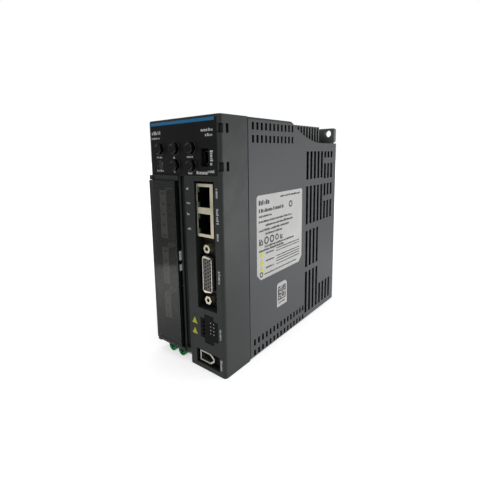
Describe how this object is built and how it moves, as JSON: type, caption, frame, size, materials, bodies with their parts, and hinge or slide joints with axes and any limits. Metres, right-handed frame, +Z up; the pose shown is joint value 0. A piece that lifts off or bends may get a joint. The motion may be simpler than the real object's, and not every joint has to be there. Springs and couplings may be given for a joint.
{
  "type": "servo drive",
  "caption": "Upright book-style servo drive: key panel on top, covered power terminals at left, connector column at right, vented case on a finned heat sink.",
  "frame": {"origin": "centre of the drive's base, on the surface it stands on", "axes": "+Z up along the case, -Y out of the front panel, +X to the right seen from the front"},
  "size_m": [0.062, 0.1592, 0.16],
  "materials": {
    "bezel_black": "fine moulded texture",
    "case_grey": "fine moulded texture",
    "label_white": "printed film",
    "cast_alloy": "as cast, satin",
    "screw_steel": "zinc plated",
    "strap_metal": "tinned",
    "screw_green": "green plated",
    "cover_smoked": "smoked, satin",
    "connector_black": "moulded",
    "plug_grey": "moulded",
    "contact_gold": "gold plated",
    "film_black": "satin film",
    "accent_blue": "satin film",
    "key_grey": "satin",
    "lamp_clear": "clear lens",
    "board_green": "solder mask",
    "display_dark": "tinted",
    "part_dark": "moulded",
    "connector_metal": "plated, slightly warm",
    "light_pipe": "clear",
    "spacer_nylon": "moulded",
    "ribbon_grey": "flat cable",
    "can_blue": "sleeved",
    "pad_grey": "soft pad",
    "film_cap_yellow": "moulded",
    "choke_green": "coated core"
  },
  "bodies": {
    "case": {"front_bezel": "bezel_black", "rear_housing": "case_grey", "rating_label": "label_white", "code_label": "label_white", "heat_sink": "cast_alloy", "case_screws": "screw_steel", "ground_strap": "strap_metal", "ground_screws": "screw_green", "cover_hinge_pins": "screw_steel", "input_terminal_header": "connector_black", "input_terminal_plug": "plug_grey", "brake_terminal_header": "connector_black", "brake_terminal_plug": "plug_grey", "motor_terminal_header": "connector_black", "motor_terminal_plug": "plug_grey", "terminal_contacts": "contact_gold", "terminal_latches": "label_white", "keypad_overlay": "film_black", "accent_stripe": "accent_blue", "charge_lamp": "lamp_clear", "display_board": "board_green", "display_module": "display_dark", "tactile_switches": "part_dark", "service_port_shell": "connector_metal", "service_port_insert": "connector_black", "network_jack_shield": "connector_metal", "network_jack_insert": "connector_black", "network_light_pipes": "light_pipe", "network_jack_contacts": "contact_gold", "io_socket_shell": "connector_metal", "io_socket_insulator": "connector_black", "io_socket_contacts": "contact_gold", "io_jackscrews": "connector_metal", "safety_header": "connector_black", "safety_header_pins": "contact_gold", "encoder_socket_shell": "connector_metal", "encoder_socket_insert": "connector_black", "control_board": "board_green", "power_board": "board_green", "board_spacers": "spacer_nylon", "board_screws": "screw_steel", "board_headers": "part_dark", "board_ribbon": "ribbon_grey", "bus_capacitors": "can_blue", "power_module": "part_dark", "thermal_pad": "pad_grey", "module_screws": "screw_steel", "rectifier_bridge": "part_dark", "inrush_relay": "part_dark", "filter_capacitor": "film_cap_yellow", "filter_choke": "choke_green"},
    "cover": {"terminal_cover": "cover_smoked"},
    "mode_key": {"mode_button": "key_grey"},
    "up_key": {"up_button": "key_grey"},
    "shift_key": {"shift_button": "key_grey"},
    "down_key": {"down_button": "key_grey"},
    "set_key": {"set_button": "key_grey"},
    "safety_jumper": {"safety_plug": "connector_black", "safety_plug_contacts": "contact_gold"}
  },
  "joints": [
    {"name": "cover_hinge", "type": "hinge", "parent": "case", "child": "cover", "pos_m": [-0.0295, -0.07735, 0.06575], "axis": [0, 0, -1], "range_deg": [0, 92]},
    {"name": "mode_press", "type": "slide", "parent": "case", "child": "mode_key", "axis": [0, 1, 0], "range_m": [0, 0.0008], "stiffness_N_per_m": 600, "springref_m": -0.0005},
    {"name": "up_press", "type": "slide", "parent": "case", "child": "up_key", "axis": [0, 1, 0], "range_m": [0, 0.0008], "stiffness_N_per_m": 600, "springref_m": -0.0005},
    {"name": "shift_press", "type": "slide", "parent": "case", "child": "shift_key", "axis": [0, 1, 0], "range_m": [0, 0.0008], "stiffness_N_per_m": 600, "springref_m": -0.0005},
    {"name": "down_press", "type": "slide", "parent": "case", "child": "down_key", "axis": [0, 1, 0], "range_m": [0, 0.0008], "stiffness_N_per_m": 600, "springref_m": -0.0005},
    {"name": "set_press", "type": "slide", "parent": "case", "child": "set_key", "axis": [0, 1, 0], "range_m": [0, 0.0008], "stiffness_N_per_m": 600, "springref_m": -0.0005},
    {"name": "safety_jumper_pull", "type": "slide", "parent": "case", "child": "safety_jumper", "axis": [0, -1, 0], "range_m": [0, 0.009]}
  ]
}
